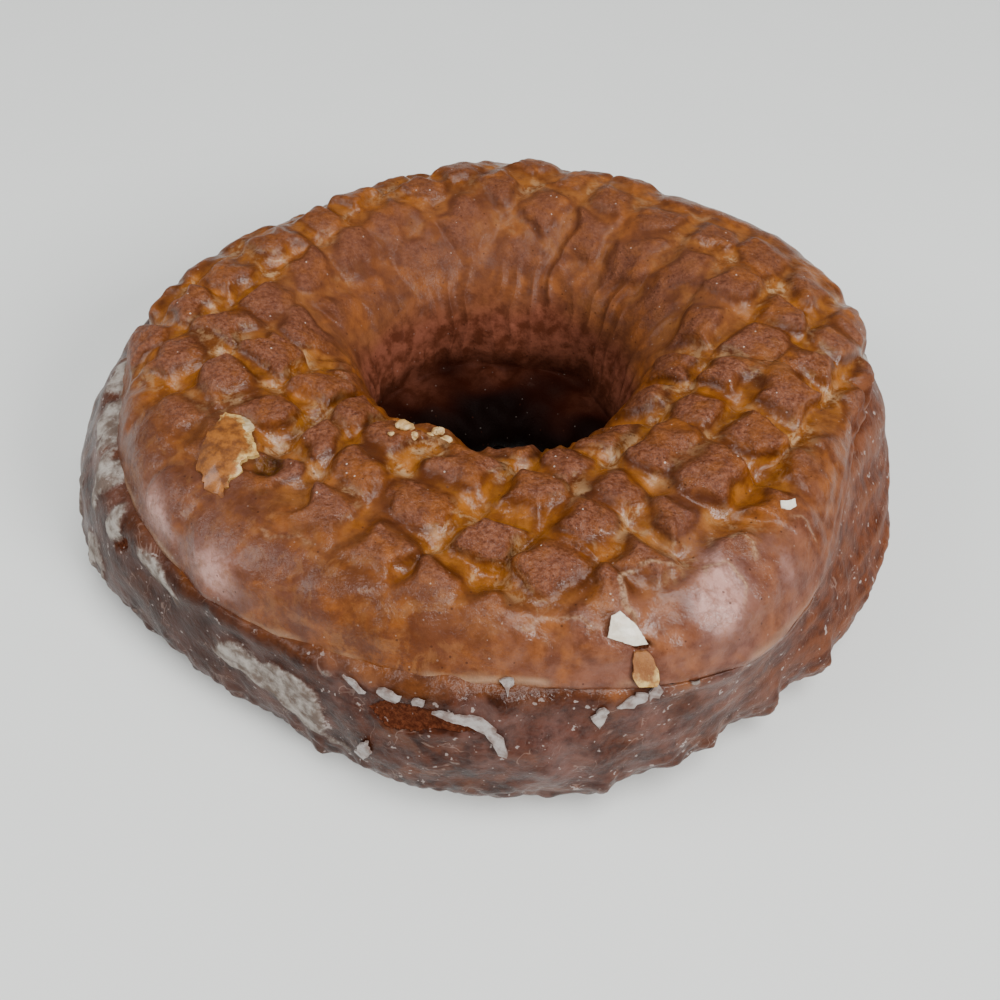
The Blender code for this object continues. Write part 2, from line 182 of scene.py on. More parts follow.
# Chips of glaze and torn crust that lie on the ring: seat, skin, form and corners. The form is
# thickness, lift of the low and of the high end, the way it rises in degrees and slope of its fold.
# Corners are angle and height, or x and y on the top.
CHIPS = {
    "ivory_chip": ("shoulder", "ivory", (0.22, 0.35, 1.3, 115, 0.35), (
        (-75.4, 26.2), (-74.6, 29.4), (-73.3, 29.7), (-71.6, 27.2), (-70.3, 23.8), (-72.2, 24.2),
        (-74, 25.4))),
    "tan_chip": ("side", "tan", (0.3, 0.2, 0.6, -70, 0), (
        (-72.3, 24.9), (-71.3, 25.1), (-70.4, 24.7), (-69.7, 23.8), (-69.5, 22.5), (-70, 21.9),
        (-72.1, 21.9), (-72.6, 22.7), (-72.5, 23.8))),
    "tan_chip_end": ("side", "white", (0.3, 0.2, 0.5, -70, 0), (
        (-70.9, 21.2), (-69.8, 21.9), (-69.4, 21), (-70.8, 20.4))),
    "sliver": ("side", "white", (0.25, 0.1, 0.35, 30, 0), (
        (-74.5, 19.5), (-73.4, 20.4), (-72, 20.9), (-71, 21), (-71, 20.4), (-72, 19.8),
        (-72.6, 19.3), (-73.5, 19.3))),
    "curved_chip": ("side", "white", (0.25, 0.1, 0.35, 90, 0), (
        (-77.6, 18.3), (-77, 19.3), (-76.3, 19.8), (-75.7, 19.3), (-75.9, 18.4), (-76.1, 17.6),
        (-76.5, 16.9), (-77, 17.4))),
    "cracked_strip": ("side", "white", (0.4, 0.15, 0.5, -90, 0), (
        (-96.6, 19.5), (-95.2, 20), (-93.4, 19.7), (-91.4, 19.4), (-89.6, 18.6), (-88.2, 17.2),
        (-87.5, 15.3), (-88.6, 15.2), (-89.4, 16.6), (-90.8, 17.8), (-92.8, 18.4), (-95, 18.8))),
    "crease_chip_1": ("side", "white", (0.3, 0.1, 0.3, 90, 0), (
        (-108.2, 20.6), (-107.2, 20.7), (-105.2, 19.4), (-105.8, 19))),
    "crease_chip_2": ("side", "white", (0.35, 0.1, 0.4, 90, 0), (
        (-103.8, 20.4), (-102.2, 20.9), (-100.4, 20.3), (-101.2, 19.2), (-102.8, 19.2))),
    "crease_chip_3": ("side", "white", (0.3, 0.1, 0.3, 90, 0), (
        (-99.4, 20.4), (-97.6, 20.5), (-97.8, 19.7), (-99, 19.6))),
    "crease_chip_4": ("side", "white", (0.3, 0.1, 0.4, 90, 0), (
        (-88.9, 22.2), (-87.6, 22.6), (-86.8, 22.1), (-87.8, 21.3))),
    "low_chip": ("side", "white", (0.3, 0.1, 0.4, 90, 0), (
        (-105.8, 12.2), (-104.4, 13.6), (-104, 11.6), (-105.2, 9.8), (-106.4, 10.2))),
    "white_blob": ("top", "ivory", (0.2, 0.05, 0.25, 60, 0.2), (
        (28.9, -26.3), (29, -25.4), (29.7, -25.2), (30.6, -24.8), (30.7, -25.6), (30, -26.2))),
    "golden_flake": ("top", "golden", (0.5, 0.1, 1.5, 15, 0.16), (
        (-31.6, -23.2), (-30.8, -19.6), (-29.4, -17.2), (-28, -17.2), (-26.4, -19.4), (-25.2, -22),
        (-26.6, -23.4), (-26.6, -24.8), (-27.6, -25.4), (-28, -27.6), (-29.8, -26.4))),
    "flake_edge": ("top", "cream", (0.3, 0.4, 0.9, 30, 0), (
        (-29.4, -17.4), (-28.7, -16.6), (-27.6, -17.4), (-26.3, -19.4), (-27, -20.2), (-28, -18.4))),
}
CHIP_STEP = 0.35
CHIP_BEND = 0.06
CHIP_RIM = 0.6
CHIP_CORNER = 40.0
# Seats that look at the ring from its side: radius at which an angle is measured, and climb
SEATS = {"side": (45, 0), "shoulder": (42.6, 50)}
STRIKE_HEIGHT = 60.0
STRIKE_REACH = 20.0
# Crumbs on the near rim of the hole: x, y, size
CRUMBS = (
    (-10.2, -17.2, 0.75), (-9.2, -17.9, 0.5), (-7, -14.2, 0.75), (-6.1, -15.8, 0.65),
    (-7.8, -15.6, 0.4), (-11.6, -18.6, 0.4), (1.9, -13.2, 0.45), (3.3, -13.6, 0.35),
    (4.6, -13, 0.4),
)
CRUMB_SHAPE = (1, 0.85, 0.7)

# ---- Meshes ----
AROUND = 1080
FUNNEL_SPLIT = 0.3
SHOULDER_SPLIT = 1.02
INNER_ROWS = 50
OUTER_ROWS = 41
FLANK_ROWS = 76
UNDER_ROWS = 14
WALL_ROWS = 50
CRUST_GLOSS = 0.03
FINE = 160

# ---- Colours of the crust: one, or the dark and the light end of a mottle ----
CRUST = ((0.078, 0.021, 0.004), (0.17, 0.052, 0.01))
AMBER = ((0.16, 0.043, 0.004), (0.31, 0.09, 0.008))
PALE_CRUST = (0.28, 0.1, 0.021)
# Painted shade on the sides of the knobs
KNOB_SIDE_SHADE = (0.062, 0.014, 0.002)
GOLDEN = ((0.17, 0.05, 0.006), (0.33, 0.118, 0.016))
KNOB_TOP = ((0.1, 0.026, 0.01), (0.235, 0.084, 0.041))
CRYSTAL = (0.42, 0.26, 0.13)
SHOULDER = (0.11, 0.028, 0.004)
DUSKY = (0.072, 0.019, 0.006)
DUSTY = (0.3, 0.125, 0.035)
BLUSH = ((0.115, 0.036, 0.021), (0.215, 0.088, 0.06))
LOW = ((0.017, 0.004, 0.002), (0.062, 0.016, 0.006))
LOW_WARM = (0.15, 0.05, 0.02)
LOW_MILKY = (0.17, 0.092, 0.076)
ROSY = ((0.062, 0.014, 0.004), (0.12, 0.032, 0.01))
STREAK = (0.23, 0.088, 0.042)
SHADE = (0.026, 0.008, 0.004)
DULL = (0.125, 0.052, 0.038)
# Milky glaze; its light end also serves as the painted sheen on the near right shoulder
MILK_AND_SHEEN = ((0.135, 0.062, 0.05), (0.46, 0.25, 0.205))
HOLE = ((0.072, 0.019, 0.009), (0.16, 0.05, 0.028))
# Painted shade deep in the hole, near black at its bottom
HOLE_SHADE = (0.017, 0.0028, 0.0009)
HOLE_DEEP_SHADE = (0.004, 0.001, 0.0005)
SPICE = (0.035, 0.01, 0.005)
TORN = ((0.04, 0.012, 0.002), (0.17, 0.062, 0.007))
SHEET_EDGE = (0.5, 0.32, 0.19)
CRACK = (0.3, 0.2, 0.16)
RAW = ((0.045, 0.01, 0.004), (0.12, 0.034, 0.014))
FROST_HAZE = (0.12, 0.072, 0.058)
FROST_WHITE = ((0.15, 0.11, 0.088), (0.43, 0.39, 0.345))
FLECK = (0.4, 0.33, 0.3)
# White sugar grains, which also stand in for painted glints on the knob tops
SUGAR_GLINT = (0.7, 0.6, 0.52)
CHIP_EDGE = ((0.36, 0.17, 0.035), (0.6, 0.42, 0.16))
# Skins of the chips: name of the material, dark, light, share of a pale edge, glaze, slot
SKINS = {
    "ivory": ("ivory_glaze", (0.66, 0.57, 0.44), (0.8, 0.74, 0.62), 0, 0.2, "dried_glaze"),
    "white": ("white_glaze", (0.16, 0.11, 0.092), (0.35, 0.31, 0.29), 0, 0.2, "dried_glaze"),
    "cream": ("cream_crumb", (0.36, 0.22, 0.08), (0.6, 0.47, 0.27), 0, 0.2, "torn_crumb"),
    "tan": ("tan_glaze", (0.2, 0.075, 0.025), (0.27, 0.11, 0.036), 1, 0.2, "dried_glaze"),
    "golden": ("golden_crust", (0.12, 0.036, 0.006), (0.3, 0.1, 0.014), 1, 0.45, "torn_crumb"),
    "crumb": ("crumb", (0.42, 0.24, 0.08), (0.66, 0.47, 0.24), 0, 0.2, "torn_crumb"),
}
# How far a chip's outline strays, by skin
CHIP_RAGGED = {"ivory": 0.03, "cream": 0.1, "white": 0.09, "tan": 0.06, "golden": 0.12}


def uneven(angle, terms):
    """Sum of a few waves round the ring."""
    return sum(c * np.cos(k * angle) + s * np.sin(k * angle) for k, (c, s) in terms.items())


def apart_degrees(angle, place):
    return (np.degrees(angle) - place + 180) % 360.0 - 180.0


def angle_bump(angle, place, width):
    """Bell of height 1 at a place round the ring, both in degrees."""
    return np.exp(-(apart_degrees(angle, place) / width) ** 2)


def swelling(angle, swells):
    return sum(size * angle_bump(angle, place, width) for place, width, size in swells)


def reach(angle, radius, centre, terms):
    """Distance from the ring's axis to an uneven ring about an offset centre."""
    shift = centre[0] * np.cos(angle) + centre[1] * np.sin(angle)
    return radius + shift + uneven(angle, terms)


def neck_reach(angle):
    return reach(angle, NECK_RADIUS, NECK_CENTRE, NECK_UNEVEN)


def crest_reach(angle):
    return reach(angle, CREST_RADIUS, CREST_CENTRE, {})


def upper_reach(angle):
    return reach(angle, UPPER_RADIUS, UPPER_CENTRE, UPPER_UNEVEN) + swelling(angle, UPPER_SWELLS)


def crease_reach(angle):
    return upper_reach(angle) - UPPER_RADIUS + CREASE_RADIUS - CREASE_DEPTH


def lower_reach(angle):
    return reach(angle, LOWER_RADIUS, (0, 0), LOWER_UNEVEN) + swelling(angle, LOWER_SWELLS)


def throat_reach(angle):
    cleft = CLEFT[2] * angle_bump(angle, *CLEFT[:2])
    return reach(angle, THROAT_RADIUS, THROAT_CENTRE, NECK_UNEVEN) + cleft


def limited(value):
    return np.clip(value, 0, 1)


def smooth(low, high, value):
    """0 below low, 1 above high, and an even curve between them."""
    t = limited((value - low) / (high - low))
    return t * t * (3.0 - 2.0 * t)


def noise(x, y, z, size, seed, waves=9):
    """Smooth three-dimensional noise of about -1 to 1 with features of the given size."""
    draw = np.random.default_rng(seed)
    total = 0.0
    for _ in range(waves):
        way = draw.normal(size=3)
        way *= draw.uniform(0.7, 1.4) * math.pi / size / np.linalg.norm(way)
        total = total + np.sin(way[0] * x + way[1] * y + way[2] * z + draw.uniform(0, FULL_TURN))
    return total / math.sqrt(waves)


# ---- Outline of the ring, from the funnel over the top and down the outside to the throat ----
def row(low, high, count=FINE):
    return np.linspace(low, high, count)[None, :]


def funnel(angle, turn):
    """From the neck of the hole, at turn 0, to the crest, at a quarter turn."""
    fullness = FUNNEL_FULLNESS[0] + FUNNEL_FULLNESS[1] * np.sin(angle)
    depth = crest_reach(angle) - neck_reach(angle)
    radius = crest_reach(angle) - depth * np.cos(turn) ** fullness
    return radius, NECK_HEIGHT + (CREST_HEIGHT - NECK_HEIGHT) * np.sin(turn) ** fullness


def shoulder(angle, turn):
    """From the crest, at turn 0, to the widest part of the upper lobe, at a quarter turn."""
    width = upper_reach(angle) - crest_reach(angle)
    radius = crest_reach(angle) + width * np.sin(turn) ** OUTER_FULLNESS
    height = UPPER_HEIGHT + (CREST_HEIGHT - UPPER_HEIGHT) * np.abs(np.cos(turn)) ** OUTER_FULLNESS
    return radius, height + 0.0 * angle


def flank(angle):
    """From the split on the shoulder over the crease and the lower lobe to the base."""
    top_r, top_z = shoulder(angle, row(SHOULDER_SPLIT, QUARTER))
    t = row(0, 1, FINE // 4)
    in_r = upper_reach(angle) + (crease_reach(angle) - upper_reach(angle)) * t ** 1.5
    in_z = UPPER_HEIGHT + (CREASE_HEIGHT - UPPER_HEIGHT) * t + 0.0 * angle
    bulge = lower_reach(angle)
    turn = row(0, QUARTER)
    power = SIDE_STRAIGHTNESS + GLAZE_RUN[2] * angle_bump(angle, *GLAZE_RUN[:2])
    side_r = crease_reach(angle) + (bulge - crease_reach(angle)) * np.sin(turn) ** power
    side_z = LOWER_HEIGHT + (CREASE_HEIGHT - LOWER_HEIGHT) * np.abs(np.cos(turn)) ** power
    low_r = bulge - BASE_TURN_IN * (1.0 - np.cos(turn))
    low_z = LOWER_HEIGHT * (1.0 - np.sin(turn)) + 0.0 * angle
    radius = np.hstack([top_r, in_r[:, 1:], side_r[:, 1:], low_r[:, 1:]])
    return radius, np.hstack([top_z, in_z[:, 1:], side_z[:, 1:], low_z[:, 1:]])


def underside(angle):
    outer = lower_reach(angle) - BASE_TURN_IN
    inner = throat_reach(angle) + BASE_FLARE
    t = row(0, 1)
    return outer + (inner - outer) * t, 0.0 * t + 0.0 * angle


def wall(angle):
    """From the base up the throat, over the inner bulge and up the lower part of the funnel."""
    narrow = throat_reach(angle)
    height = row(0, THROAT_HEIGHT)
    low_r = narrow + BASE_FLARE * (1.0 - height / THROAT_HEIGHT) ** 2
    turn = row(0, QUARTER)
    bulge_r = narrow + (neck_reach(angle) - narrow) * (1.0 - np.cos(turn))
    bulge_z = THROAT_HEIGHT + (NECK_HEIGHT - THROAT_HEIGHT) * np.sin(turn) + 0.0 * angle
    up_r, up_z = funnel(angle, row(0, FUNNEL_SPLIT))
    radius = np.hstack([low_r, bulge_r[:, 1:], up_r[:, 1:]])
    return radius, np.hstack([height + 0.0 * angle, bulge_z[:, 1:], up_z[:, 1:] + 0.0 * angle])


def evenly(section, count):
    """The section's points again, spaced evenly along it at every angle."""
    radius, height = section
    height = height + 0.0 * radius
    length = np.hypot(np.diff(radius, axis=1), np.diff(height, axis=1)).cumsum(axis=1)
    length = np.hstack([np.zeros((len(length), 1)), length])
    wanted = np.linspace(0, 1, count + 1)
    even = [[np.interp(wanted * far[-1], far, line) for far, line in zip(length, lines)]
            for lines in (radius, height)]
    return np.array(even[0])[:, :-1], np.array(even[1])[:, :-1]


def plain_ring():
    """The closed outline at every angle: the angles, radii and heights of its points."""
    angle = np.linspace(0, FULL_TURN, AROUND, endpoint=False)[:, None]
    sections = [(funnel(angle, row(FUNNEL_SPLIT, QUARTER)), INNER_ROWS),
                (shoulder(angle, row(0, SHOULDER_SPLIT)), OUTER_ROWS),
                (flank(angle), FLANK_ROWS),
                (underside(angle), UNDER_ROWS),
                (wall(angle), WALL_ROWS)]
    even = [evenly(section, count) for section, count in sections]
    radius = np.hstack([part[0] for part in even])
    height = np.hstack([part[1] for part in even])
    return angle + 0.0 * radius, radius, height


def closed_gradient(values, axis):
    return 0.5 * (np.roll(values, -1, axis) - np.roll(values, 1, axis))


def outward(radius, height):
    along_r = closed_gradient(radius, 1)
    along_z = closed_gradient(height, 1)
    length = np.hypot(along_r, along_z)
    return -along_z / length, along_r / length


# ---- Relief ----
def knob_cells(x, y):
    """Place in its knob, in millimetres along the two directions, and the knob's own draws."""
    x = x + LATTICE_WARP * noise(x, y, 0, 11, 41)
    y = y + LATTICE_WARP * noise(x, y, 0, 11, 42)
    turn = math.radians(KNOB_TURN)
    dx = (x - KNOB_ORIGIN[0]) / KNOB_PITCH
    dy = (y - KNOB_ORIGIN[1]) / KNOB_PITCH
    ways = (dx * math.cos(turn) + dy * math.sin(turn), dy * math.cos(turn) - dx * math.sin(turn))
    cells = [np.round(way).astype(int) for way in ways]
    draws = np.random.default_rng(43).uniform(-1, 1, (4, KNOB_DRAWS, KNOB_DRAWS))
    draws = draws[:, cells[0] % KNOB_DRAWS, cells[1] % KNOB_DRAWS]
    return [KNOB_PITCH * (way - cell) for way, cell in zip(ways, cells)], draws


def knob_form(x, y):
    """Relief of the knobs, and masks of grooves, their sides, the dry tops and the crossings."""
    local, draws = knob_cells(x, y)
    fill = 0.84 + 0.32 * noise(x, y, 0, 8, 44)
    grooves = []
    for way, (place, depth, draw) in enumerate(zip(local, GROOVE_DEPTHS, draws[2:])):
        wobble = KNOB_WOBBLE * noise(x, y, 0, 3.2, 45 + way)
        share = limited((np.abs(place) + wobble) / (0.5 * KNOB_PITCH))
        start = KNOB_FLAT[0] + KNOB_FLAT[2] * draw
        grooves.append(depth * fill * smooth(start, KNOB_FLAT[1], share))
    total = (grooves[0] ** 3 + grooves[1] ** 3 + 1e-9) ** (1.0 / 3) + 0.2 * np.minimum(*grooves)
    edge = 0.16 * noise(x, y, 0, 1.1, 47, 16) + 0.15 * draws[1]
    top = smooth(0.85, 0.15, total + edge)
    knob = smooth(1.3, 0.2, total)
    form = KNOB_HEIGHTS * draws[0] * knob - total + TOP_STEP * top
    form = form + KNOB_TILTS * (draws[1] * local[0] + draws[2] * local[1]) * knob
    side = np.exp(-((total - 0.85) / 0.36) ** 2)
    return form, (smooth(0.95, 1.5, total), side), top, smooth(0.35, 1.1, np.minimum(*grooves))


def to_line(x, y, corners):
    """Distance to an open line, which side of it a point lies on (right is positive), and a taper
    that falls to 0 at its ends."""
    near, side = np.full(np.shape(x), 1e9), np.zeros(np.shape(x))
    for (ax, ay), (bx, by) in zip(corners[:-1], corners[1:]):
        run_x, run_y = bx - ax, by - ay
        length = math.hypot(run_x, run_y)
        share = limited(((x - ax) * run_x + (y - ay) * run_y) / length ** 2)
        apart = np.hypot(x - ax - share * run_x, y - ay - share * run_y)
        right = ((x - ax) * run_y - (y - ay) * run_x) / length
        side = np.where(apart < near, right, side)
        near = np.minimum(near, apart)
    ends = 1.0
    for ax, ay in (corners[0], corners[-1]):
        ends = ends * (1.0 - np.exp(-((x - ax) ** 2 + (y - ay) ** 2) / 1.5))
    return near, side, ends


def sheet_edges(x, y, high):
    """Lift and pale rim where sheets of thick glaze end. A sheet lies right of its line."""
    x = x + 0.22 * noise(x, y, 0, 1.3, 72, 14)
    y = y + 0.22 * noise(x, y, 0, 1.3, 73, 14)
    lift = pale = 0.0
    for rise, fade, corners in SHEETS:
        near, side, ends = to_line(x, y, corners)
        lift = lift + high * ends * rise * smooth(-0.15, 0.12, side) * np.exp(-near / fade)
        pale = pale + high * ends * np.exp(-(near / SHEET_RIM) ** 2) * min(1, 3.0 * rise)
    return lift, pale


def knob_strength(angle, radius, height, y):
    """How boldly the knobs show: calm where the glaze lies thick and down in the hole."""
    from_outer = radius - upper_reach(angle)
    inside = smooth(KNOB_FADE[0], KNOB_FADE[1], height)
    outside = smooth(UPPER_HEIGHT - 0.5, UPPER_HEIGHT + 3, height)
    strength = np.where(radius < crest_reach(angle), inside, outside)
    front = smooth(0, -20, y) * smooth(-7, -2.5, from_outer)
    sides = sum(angle_bump(angle, place, width) * smooth(low, high, from_outer)
                for place, width, low, high in CALM_SIDES)
    calm = limited(front + sides)
    far = 1.0 - 0.5 * smooth(-6, 22, y)
    return strength * (1.0 - 0.85 * calm) * far


def spots(angle, radius, height, places):
    """Sum of rounded spots given by angle, height, half length, half height and strength."""
    total = 0.0
    for place, middle, length, tall, strength in places:
        along = np.radians(apart_degrees(angle, place)) * radius
        away = (along / length) ** 2 + ((height - middle) / tall) ** 2
        total = total + strength * np.exp(-away ** 1.2)
    return total


def tooth(angle, place, width):
    """A tooth of the lower edge, steep on one side and drawn out on the other."""
    apart = apart_degrees(angle, place)
    return np.exp(-np.abs(apart / (width * np.where(apart > 0, 0.4, 1.9))) ** 1.3)


def edge_relief(angle, x, y, z, outer):
    """Crags and teeth round the edge of the lower lobe."""
    band = np.exp(-((z - EDGE_HEIGHT) / EDGE_BAND) ** 2) * outer
    teeth = sum(size * tooth(angle, place, width) for place, width, size in TEETH)
    crags = 0.16 * noise(x, y, 0.5 * z, 3.2, 5) + 0.26 * np.abs(noise(x, y, z, 1.5, 6, 20)) - 0.1
    return band * (teeth + crags)


def side_relief(angle, radius, x, y, z, lower, wall_on):
    """Lumps, pits and streaks of the side, and the mask of its streaks."""
    along = z + 0.55 * (radius - 44) + 0.5 * noise(x, y, z, 12, 50)
    streaks = noise(0.07 * x, 0.07 * y, along, 0.9, 51, 16)
    fine_streaks = noise(0.1 * x, 0.1 * y, along, 0.4, 80, 16)
    even = limited(angle_bump(angle, *EVEN_LEFT) + 0.9 * angle_bump(angle, *RUN_SIDE))
    rough = lower * (1.0 - 0.8 * even)
    lift = LUMP_DEPTH * rough * noise(x, y, z, 2.6, 52, 16)
    lift = lift + STREAK_DEPTHS[0] * streaks * (0.2 * rough + wall_on)
    lift = lift + STREAK_DEPTHS[1] * fine_streaks * wall_on
    lift = lift - PIT_DEPTH * rough * smooth(0.5, 1.3, noise(x, y, z, 2.2, 57, 16))
    return lift, wall_on * smooth(0.1, 1, streaks + 0.6 * fine_streaks)


def hole_relief(angle, radius, x, y, z, outer):
    """Ridges that run down the slope of the hole, and lumps lower down."""
    slope = smooth(NECK_HEIGHT, NECK_HEIGHT + 4, z) * smooth(28, 23, z) * (1.0 - outer)
    slope = slope * smooth(29, 25, radius)
    sway = 1.1 * noise(x, y, z, 9, 53) + 0.7 * noise(x, y, z, 3.5, 54)
    ridges = np.abs(np.sin(0.5 * HOLE_RIDGES * angle + sway)) - 0.6
    inner = (1.0 - outer) * smooth(NECK_HEIGHT + 6, NECK_HEIGHT, z)
    lift = inner * 0.3 * noise(x, y, z, 2.6, 52, 16)
    return lift - slope * RIDGE_DEPTH * ridges * (0.7 + 0.5 * noise(x, y, z, 6, 55))


def crease_relief(angle, x, y, z, outer):
    """Glaze that rounds the crease, under a thin lip, and the mask of the lip."""
    sway = 0.35 * noise(x, y, 0, 8, 64) + 0.15 * noise(x, y, 0, 2.2, 65)
    from_crease = z - CREASE_HEIGHT - sway
    fillet = np.exp(-((from_crease + 0.2) / FILLET[1]) ** 2) * outer
    closed = 1.0 - limited(1.5 * angle_bump(angle, *RUN_SIDE))
    lip = np.exp(-((from_crease - 1) / LIP[1]) ** 2) * outer * closed
    lift = (FILLET[0] - angle_bump(angle, *OPEN_CREASE)) * fillet + LIP[0] * lip
    return lift, lip * smooth(-0.2, 0.5, noise(x, y, 0, 5, 70))


def dried_patches(angle, radius, x, y, z):
    """Lift of dried glaze and bare crust, with the masks of both."""
    ragged = 0.45 * noise(x, y, z, 1.5, 61, 18) + 0.35 * noise(x, y, z, 3.4, 62, 14)
    broken = 0.55 * noise(x, y, z, 2.6, 76, 16) + 0.25 * noise(x, y, z, 1, 77, 20)
    outside = smooth(-3, 1, radius - crest_reach(angle))
    frost = outside * spots(angle, radius, z, FROST) * (1.0 + 0.3 * broken) + 0.26 * broken - 0.56
    bare = outside * spots(angle, radius, z, BARE) + 0.3 * ragged - 0.55
    bare_on = smooth(-0.04, 0.10, bare)
    lift = FROST_RISE * smooth(-0.1, 0.25, frost) * (1.0 + 0.5 * ragged) - BARE_DEPTH * bare_on
    return lift + bare_on * 0.09 * noise(x, y, z, 0.9, 63, 20), frost, bare


def survey(angle, radius, z):
    """Relief above the plain ring and the masks that paint it."""
    x = radius * np.cos(angle)
    y = radius * np.sin(angle)
    outer = smooth(33, 36, radius)
    outside = smooth(-3, 1, radius - crest_reach(angle))
    high = smooth(23, 25, z)
    lower = outer * smooth(CREASE_HEIGHT + 0.6, CREASE_HEIGHT - 0.8, z)
    run = angle_bump(angle, *RUN_SIDE)
    wall_on = outer * smooth(26, 24, z + 0.6 * noise(x, y, z, 4, 79)) * run
    form, (groove, side), top, crossing = knob_form(x, y)
    strength = knob_strength(angle, radius, z, y)
    plain = 1.0 - limited(strength)
    top_on = limited(top * strength)
    flake = np.hypot(x - FLAKE_PLACE[0], y - FLAKE_PLACE[1]) / FLAKE_RADIUS
    hollow = np.hypot(x - HOLLOW_PLACE[0], y - HOLLOW_PLACE[1]) / HOLLOW_RADIUS
    sheet, torn_rim = sheet_edges(x, y, high)
    side_lift, streak = side_relief(angle, radius, x, y, z, lower, wall_on)
    crease_lift, rim = crease_relief(angle, x, y, z, outer)
    dried_lift, frost, bare = dried_patches(angle, radius, x, y, z)
    swell = 0.35 * noise(x, y, z, 14, 11) + 0.15 * noise(x, y, z, 5, 12)
    wrinkles = 0.07 * noise(x, y, z, 2.2, 13, 16) + 0.035 * noise(x, y, z, 1, 14, 20)
    lift = swell + form * strength + wrinkles * smooth(0, 0.4, strength) + sheet
    lift = lift + high * FLAKE_RISE * (1.0 - smooth(0.6, 1.15, flake))
    lift = lift - high * HOLLOW_DEPTH * np.exp(-hollow ** 2)
    lift = lift + edge_relief(angle, x, y, z, outer) + side_lift + crease_lift + dried_lift
    lift = lift + hole_relief(angle, radius, x, y, z, outer)
    lift = lift + 0.06 * noise(x, y, z, 0.75, 66, 24) * top_on + 0.02 * noise(x, y, z, 1.2, 67, 20)
    # Milky glaze, with a painted sheen where the spots are strong on the near right shoulder
    veil = outside * spots(angle, radius, z, VEILS_AND_SHEEN) * (1.0 + 0.35 * noise(x, y, z, 5, 68))
    veil = veil + lower * (0.02 + 0.3 * noise(x, y, z, 4.5, 69)) * (1.0 - 0.7 * run)
    vein = crossing * smooth(-0.5, 0.6, noise(x, y, z, 5, 74))
    vein = vein + 0.9 * np.maximum(groove, 0.6 * side) * smooth(-0.1, 0.9, noise(x, y, z, 4, 75))
    soft = limited(run + angle_bump(angle, *SOFT_LEFT))
    low_edge = z + 0.5 * noise(x, y, 0, 3, 81, 14) - CREASE_HEIGHT
    shoulder_on = smooth(19.8, 21.4, z) * outer
    deep_edge = z + 0.12 * radius + 0.9 * noise(x, y, z, 4, 78, 14)
    masks = {
        "pool": limited(groove * strength),
        "side": limited(side * strength),
        "top": top_on,
        "veil": np.clip(veil, 0, 1.5),
        "frost": frost,
        "bare": bare,
        "lower": outer * smooth(0.6 + 3.0 * soft, -1.0 - 1.5 * soft, low_edge),
        "run": wall_on,
        "shoulder": shoulder_on * (1.0 - limited(1.6 * strength)) * smooth(7.2, -4.8, x),
        "blush": shoulder_on * smooth(28.4, 26.8, z) * angle_bump(angle, *ROSY_RIGHT) * plain,
        "deep": (1.0 - outer) * smooth(26.5, 7, deep_edge),
        "rim": rim,
        "torn": limited(torn_rim),
        "vein": limited(vein * strength),
        "calm": angle_bump(angle, *SMOOTH_LEFT) * outside * plain * (1.0 - lower),
        "shade": lower * angle_bump(angle, *SHADED_LEFT),
        "dull": (1.0 - outer) * smooth(-6, 8, y) * smooth(34, 27, radius),
        "streak": streak,
        "gold": high * np.exp(-(hollow / 0.95) ** 4),
    }
    return smooth(0, 1.5, z) * lift, masks


def finished(angle, radius, height, normal_r, normal_z, lift):
    """Points of the surface, in metres, from those of the plain ring."""
    radius = radius + lift * normal_r
    x = radius * np.cos(angle)
    y = radius * np.sin(angle)
    height = np.maximum(height + lift * normal_z, 0)
    height = height * (1.0 + (TOP_SLOPE[0] * x + TOP_SLOPE[1] * y) / CREST_HEIGHT)
    return np.stack([x - MIDDLE[0], y - MIDDLE[1], height], axis=-1) * MM


def surface_normals(points):
    """Unit normals of the closed grid of points, facing out."""
    along = closed_gradient(points, 1)
    around = closed_gradient(points, 0)
    normal = np.cross(around, along)
    normal /= np.linalg.norm(normal, axis=-1, keepdims=True) + 1e-12
    return -normal


# ---- Meshes ----
def mesh_from(name, points, faces, masks, surface):
    """An object from arrays of points, faces of equal size and one value a point for each mask."""
    mesh = bpy.data.meshes.new(name)
    sides = faces.shape[1]
    mesh.vertices.add(len(points))
    mesh.vertices.foreach_set("co", points.ravel())
    mesh.loops.add(faces.size)
    mesh.loops.foreach_set("vertex_index", faces.ravel())
    mesh.polygons.add(len(faces))
    mesh.polygons.foreach_set("loop_start", np.arange(0, faces.size, sides))
    mesh.update(calc_edges=True)
    for mask, values in masks.items():
        painted = mesh.attributes.new(mask, "FLOAT", "POINT")
        painted.data.foreach_set("value", np.ascontiguousarray(values, dtype=np.float32).ravel())
    mesh.materials.append(surface)
    mesh.shade_smooth()
    made = bpy.data.objects.new(name, mesh)
    bpy.context.scene.collection.objects.link(made)
    return made


def grid_faces(around, along):
    i = np.arange(around)[:, None]
    j = np.arange(along - 1)[None, :]
    near = i * along + j
    far = ((i + 1) % around) * along + j
    return np.stack([near, near + 1, far + 1, far], axis=-1).reshape(-1, 4)


def ring_piece(name, points, normals, masks, rows, surface):
    """One band of the closed grid, with the grid's own normals so that bands meet unseen."""
    part = points[:, rows].reshape(-1, 3)
    painted = {mask: values[:, rows] for mask, values in masks.items()}
    made = mesh_from(name, part, grid_faces(AROUND, len(rows)), painted, surface)
    made.data.normals_split_custom_set_from_vertices(normals[:, rows].reshape(-1, 3))
    return made


# ---- Chips and crumbs ----
def ragged_outline(corners, ragged, draw):
    """The closed outline through the corners in short steps, each point off by a little."""
    corners = np.array(corners)
    points = []
    for start, end in zip(corners, np.roll(corners, -1, axis=0)):
        steps = max(1, int(np.linalg.norm(end - start) / CHIP_STEP))
        points.extend(start + (end - start) * step / steps for step in range(steps))
    points = np.array(points)
    return points + draw.normal(size=points.shape) * ragged


